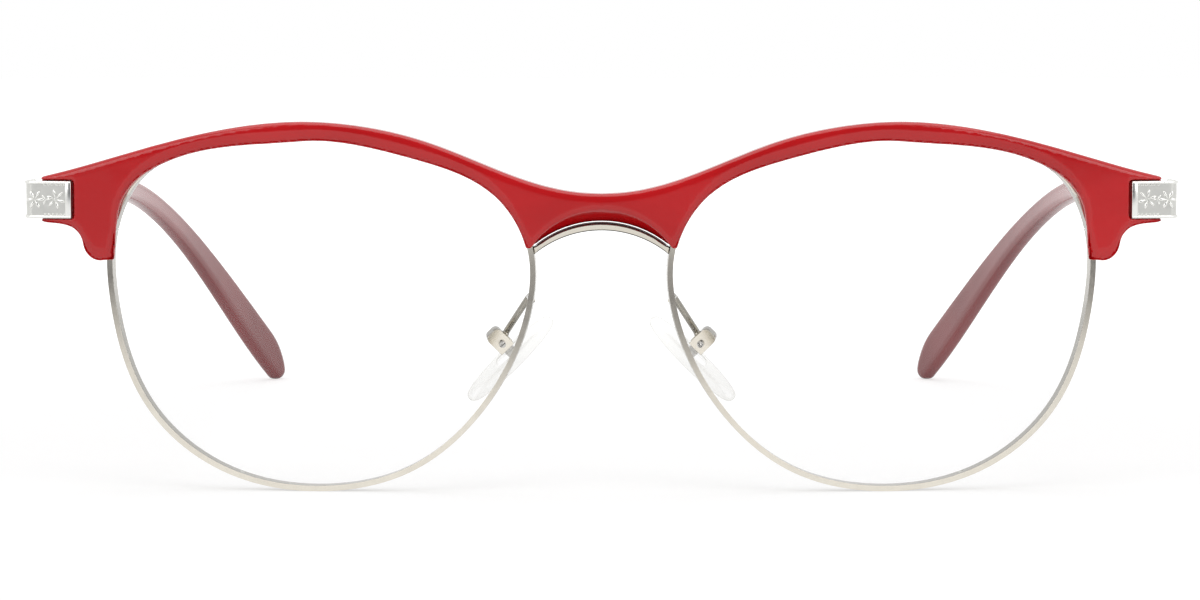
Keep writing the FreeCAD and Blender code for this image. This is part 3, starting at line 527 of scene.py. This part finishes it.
class Plate:
    """The outer face of an end piece, run along from its inner edge, round the corner and back."""

    def __init__(self, side):
        low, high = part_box("left_end_piece")
        self.sign = SIDES[side]
        self.start = Vector((low.x, low.y, 0))
        self.low, self.high = low.z, high.z
        self.middle = (low.z + high.z) / 2
        corner = PLATE_CORNER * MM
        self.along = Vector((math.cos(PLATE_SWEEP), math.sin(PLATE_SWEEP), 0))
        out = Vector((math.sin(PLATE_SWEEP), -math.cos(PLATE_SWEEP), 0))
        centre_x = high.x - corner
        reach = (centre_x + corner * math.sin(PLATE_SWEEP) - low.x) / math.cos(PLATE_SWEEP)
        self.straight = reach
        self.centre = self.start + self.along * reach - out * corner
        self.corner = corner
        self.turn = math.pi / 2 - PLATE_SWEEP
        self.total = reach + corner * self.turn + high.y - self.centre.y

    def outwards(self, point):
        """The direction out of the face nearest to a point of the left plate."""
        spoke = Vector((point.x - self.centre.x, point.y - self.centre.y, 0))
        heading = math.atan2(spoke.x, -spoke.y)
        heading = min(max(heading, PLATE_SWEEP), math.pi / 2)
        return Vector((math.sin(heading), -math.cos(heading), 0))

    def sink(self, piece):
        """Lowers the plate's outer face, which leaves room for the relief on it."""
        flip = Matrix.Diagonal((self.sign, 1, 1))
        for vertex in piece.data.vertices:
            place = flip @ vertex.co
            out = self.outwards(place)
            behind = (place - self.centre).dot(out) - self.corner
            if behind > -PLATE_SUNK * MM:
                vertex.co = flip @ (place - out * PLATE_SUNK * MM)

    def face(self, run, rise):
        """A matrix at a place on the sunk face: X along the run, Y up, Z outwards."""
        bend = self.corner * self.turn
        if run < self.straight:
            angle = 0
            point = self.start + self.along * run
        else:
            angle = min((run - self.straight) / self.corner, self.turn)
            heading = PLATE_SWEEP + angle
            point = self.centre + Vector((math.sin(heading), -math.cos(heading), 0)) * self.corner
            point.y += max(run - self.straight - bend, 0)
        heading = PLATE_SWEEP + angle
        along = Vector((math.cos(heading), math.sin(heading), 0))
        out = Vector((math.sin(heading), -math.cos(heading), 0))
        up = Vector((0, 0, 1))
        place = Matrix((along, up, out)).transposed().to_4x4()
        place.translation = point + up * (self.middle + rise) - out * (PLATE_SUNK * MM)
        return Matrix.Diagonal((self.sign, 1, 1, 1)) @ place


def petal_form(name, sizes):
    """A teardrop dome, narrow towards its root at -X."""
    bpy.ops.object.select_all(action="DESELECT")
    bpy.ops.mesh.primitive_uv_sphere_add(segments=14, ring_count=8, radius=1)
    form = bpy.context.object
    form.name = name
    bpy.ops.object.mode_set(mode="EDIT")
    for limit, share in PETAL_TAPERS:
        bpy.ops.mesh.select_all(action="DESELECT")
        bpy.ops.object.mode_set(mode="OBJECT")
        for vertex in form.data.vertices:
            vertex.select = vertex.co.x < limit
        bpy.ops.object.mode_set(mode="EDIT")
        bpy.ops.transform.resize(value=(1, share, share), center_override=(0, 0, 0))
    bpy.ops.object.mode_set(mode="OBJECT")
    form.scale = [size * MM for size in sizes]
    settle(form)
    bpy.ops.object.shade_smooth()
    return form


def placed_copy(form, matrix):
    """A copy of a form with its own mesh, moved to a place."""
    copy = form.copy()
    copy.data = form.data.copy()
    copy.data.transform(matrix)
    if matrix.determinant() < 0:
        copy.data.flip_normals()
    bpy.context.scene.collection.objects.link(copy)
    return copy


def flower(plate, form, run, rise, petals, ring, turn):
    """Petals round a centre on an end piece's face."""
    made = []
    for i in range(petals):
        angle = turn + i * math.tau / petals
        aside, up = ring * MM * math.cos(angle), ring * MM * math.sin(angle)
        place = plate.face(run + aside, rise + up)
        made.append(placed_copy(form, place @ Matrix.Rotation(angle, 4, "Z")))
    return made


def rail(plate, rise):
    """A raised round border that follows the end piece's face at one height."""
    curve = bpy.data.curves.new("rail", "CURVE")
    curve.dimensions = "3D"
    curve.bevel_depth = RAIL_RADIUS * MM
    curve.bevel_resolution = 3
    curve.use_fill_caps = True
    line = curve.splines.new("POLY")
    line.points.add(RAIL_STEPS)
    first = RAIL_RADIUS * MM
    for i, point in enumerate(line.points):
        run = first + (plate.total - 2 * first) * i / RAIL_STEPS
        point.co = (*plate.face(run, rise).translation, 1)
    piece = bpy.data.objects.new("rail", curve)
    bpy.context.scene.collection.objects.link(piece)
    pick(piece)
    bpy.ops.object.convert(target="MESH")
    return bpy.context.object


def band(plate):
    """The plain raised band across an end piece's inner end."""
    bpy.ops.object.select_all(action="DESELECT")
    bpy.ops.mesh.primitive_cube_add(size=1)
    piece = bpy.context.object
    piece.scale = [BAND[0] * MM, plate.high - plate.low - RAIL_RADIUS * MM, BAND[1] * MM]
    settle(piece)
    modify(piece, "BEVEL", width=FITTING_BEVEL * MM, segments=2)
    piece.data.transform(plate.face(BAND_RUN * MM, 0))
    return piece


def make_end_pieces(ground, silver):
    """The silver end pieces, with raised rails, flowers, leaves and beads."""
    sizes = {"petal": PETAL, "leaf": LEAF, "bead": BEAD}
    forms = {name: petal_form(name, size) for name, size in sizes.items()}
    for side in SIDES:
        node = f"{side}_end_piece"
        plate = Plate(side)
        piece = merged_copy(node)
        plate.sink(piece)
        stand_in(piece, node, ground, smooth=32)
        edge = (plate.high - plate.low) / 2 - RAIL_RADIUS * MM
        parts = [rail(plate, edge), rail(plate, -edge)]
        parts.append(band(plate))
        for form, run, rise, petals, ring, turn in FLOWERS:
            parts += flower(plate, forms[form], run * MM, rise * MM, petals, ring, turn)
        for i in range(SPRIGS):
            run = plate.straight + (SPRIG_START + SPRIG_STEP * i) * MM
            parts += flower(plate, forms["leaf"], run, 0.0, SPRIG_LEAVES, SPRIG_RING, SPRIG_TURN * i)
        for i in range(BEADS):
            run = (BEAD_START + BEAD_STEP * i) * MM
            for up in (1, -1):
                place = plate.face(run, up * (edge - BEAD_INSET * MM))
                parts.append(placed_copy(forms["bead"], place))
        pick(parts[0])
        for part in parts:
            part.select_set(True)
        bpy.ops.object.join()
        relief = bpy.context.object
        relief.name = f"{side}_end_relief"
        bpy.ops.object.mode_set(mode="EDIT")
        bpy.ops.mesh.select_all(action="SELECT")
        bpy.ops.mesh.normals_make_consistent(inside=False)
        bpy.ops.object.mode_set(mode="OBJECT")
        bpy.ops.object.shade_smooth()
        finish_piece(relief, silver, "front_frame")
    for form in forms.values():
        bpy.data.objects.remove(form)


def make_nose_pads(silicone, steel):
    """Crowned clear pads, each with its boss, and the steel lugs that show through them."""
    for side in SIDES:
        node = f"{side}_nose_pad"
        pad = moulded(node, silicone, *PAD_WEAR)
        dressed(f"{side}_pad_lug", steel)


def make_stage():
    """A plain white floor that keeps a faint shadow, and that ends in front for what metal and gloss show."""
    bpy.ops.object.select_all(action="DESELECT")
    bpy.ops.mesh.primitive_plane_add(size=FLOOR_SIZE)
    floor = bpy.context.object
    floor.name = "floor"
    finish = Finish(bpy.data.materials.new("white_floor"))
    plain = finish.node("ShaderNodeBsdfDiffuse", {}, {"Color": FLOOR_LIT})
    shaded = finish.node("ShaderNodeBsdfDiffuse", {}, {"Color": FLOOR_SEEN})
    ahead = finish.node("ShaderNodeSeparateXYZ", {}, {0: finish.place()}, out="Y")
    glossy = finish.node("ShaderNodeLightPath", out="Is Glossy Ray")
    dark = finish.smooth(0 - ahead, *FLOOR_ENDS) * glossy
    white = finish.mix(finish.smooth(ahead, *FLOOR_BACK), FLOOR_GLOW, WHITE)
    glow = finish.node("ShaderNodeEmission", {}, {"Color": finish.mix(dark, white, ROOM)})
    seen = finish.node("ShaderNodeAddShader", {}, {0: shaded, 1: glow})
    floor.data.materials.append(finish.close(
        finish.node("ShaderNodeMixShader", {}, {0: seen_share(finish), 1: plain, 2: seen})
    ))


def seen_share(finish):
    """1 for rays from the camera and for what metal and glass show, 0 for light."""
    names = ("Camera", "Glossy", "Transmission")
    camera, glossy, through = [finish.node("ShaderNodeLightPath", out=f"Is {name} Ray") for name in names]
    return camera.most(glossy).most(through)


def make_world():
    """White all round to the eye, with the dark of the room on the photographer's side for reflections."""
    world = bpy.data.worlds.new("studio")
    bpy.context.scene.world = world
    finish = Finish(world)
    way = finish.node("ShaderNodeTexCoord", out="Generated")
    ahead = 0 - finish.node("ShaderNodeSeparateXYZ", {}, {0: way}, out="Y")
    above = finish.node("ShaderNodeSeparateXYZ", {}, {0: way}, out="Z")
    room = finish.smooth(ahead + ROOM_RISE * above.most(0), *ROOM_CONE)
    glossy = finish.node("ShaderNodeLightPath", out="Is Glossy Ray")
    back = finish.mix(room * glossy, WHITE, ROOM)
    seen = finish.node("ShaderNodeBackground", {}, {"Color": back, "Strength": 1.0})
    fill = finish.node("ShaderNodeBackground", {}, {"Color": WHITE, "Strength": FILL})
    mixed = finish.node("ShaderNodeMixShader", {}, {0: seen_share(finish), 1: fill, 2: seen})
    finish.close(mixed, "ShaderNodeOutputWorld")


def lamp(name, place, aim, size, power):
    """A soft square lamp that points at a place."""
    light = bpy.data.lights.new(name, "AREA")
    light.size, light.energy = size, power
    piece = bpy.data.objects.new(name, light)
    piece.location = place
    piece.rotation_euler = (Vector(aim) - Vector(place)).to_track_quat("-Z", "Y").to_euler()
    bpy.context.scene.collection.objects.link(piece)


def make_light():
    for name, (place, size, power) in LAMPS.items():
        lamp(name, place, LAMP_AIM, size, power)


def make_camera():
    """The camera where the photograph was taken from."""
    data = bpy.data.cameras.new("photo")
    data.sensor_width = SENSOR
    data.lens = FOCAL_PIXELS / FRAME_PIXELS * SENSOR
    data.clip_start = 0.01
    piece = bpy.data.objects.new("photo", data)
    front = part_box("brow_bar")[0].y
    piece.location = (CAMERA_ASIDE * MM, front - CAMERA_AHEAD * MM, CAMERA_HEIGHT * MM)
    piece.rotation_euler = (math.radians(90 - CAMERA_PITCH), 0, 0)
    bpy.context.scene.collection.objects.link(piece)
    bpy.context.scene.camera = piece


def main():
    steel = metal(
        "hinge_steel", dark=(0.50, 0.49, 0.47), light=(0.66, 0.65, 0.63),
        grain=1500, stretch=(1, 1, 5), roughness=0.24, relief=0.08,
    )
    # The pale metal of the eyewires and fittings darkens along its rounded edges with painted shade
    pale = metal(
        "pale_metal", dark=(0.76, 0.71, 0.62), light=(0.85, 0.81, 0.72),
        grain=900, stretch=(1, 6, 1), roughness=0.12, relief=0.01, edge=0.85,
    )
    ground = metal(
        "silver_ground", dark=(0.60, 0.60, 0.57), light=(0.74, 0.74, 0.71),
        grain=5200, stretch=(1, 1, 1), roughness=0.3, relief=0.25,
    )
    silver = metal(
        "silver_relief", dark=(0.78, 0.78, 0.75), light=(0.88, 0.88, 0.85),
        grain=2600, stretch=(1, 1, 1), roughness=0.16, relief=0.05,
    )
    # The bridge bar's metal turns near-black at a slant: a painted shadow on its sloping top, where it sits
    # under the brow
    bar = metal(
        "bar_metal", dark=(0.74, 0.69, 0.60), light=(0.85, 0.81, 0.72),
        grain=900, stretch=(6, 1, 1), roughness=0.1, relief=0.01, edge=1.0, shade=PAINTED_BAR_SHADOW,
    )
    make_frame_front(red_acetate(), pale, bar, steel, clear_lens())
    make_temples(rose_acetate(), steel)
    make_end_pieces(ground, silver)
    make_nose_pads(clear_silicone(), steel)
    make_stage()
    make_world()
    make_light()
    make_camera()
    bpy.context.scene.view_settings.view_transform = "Standard"


main()
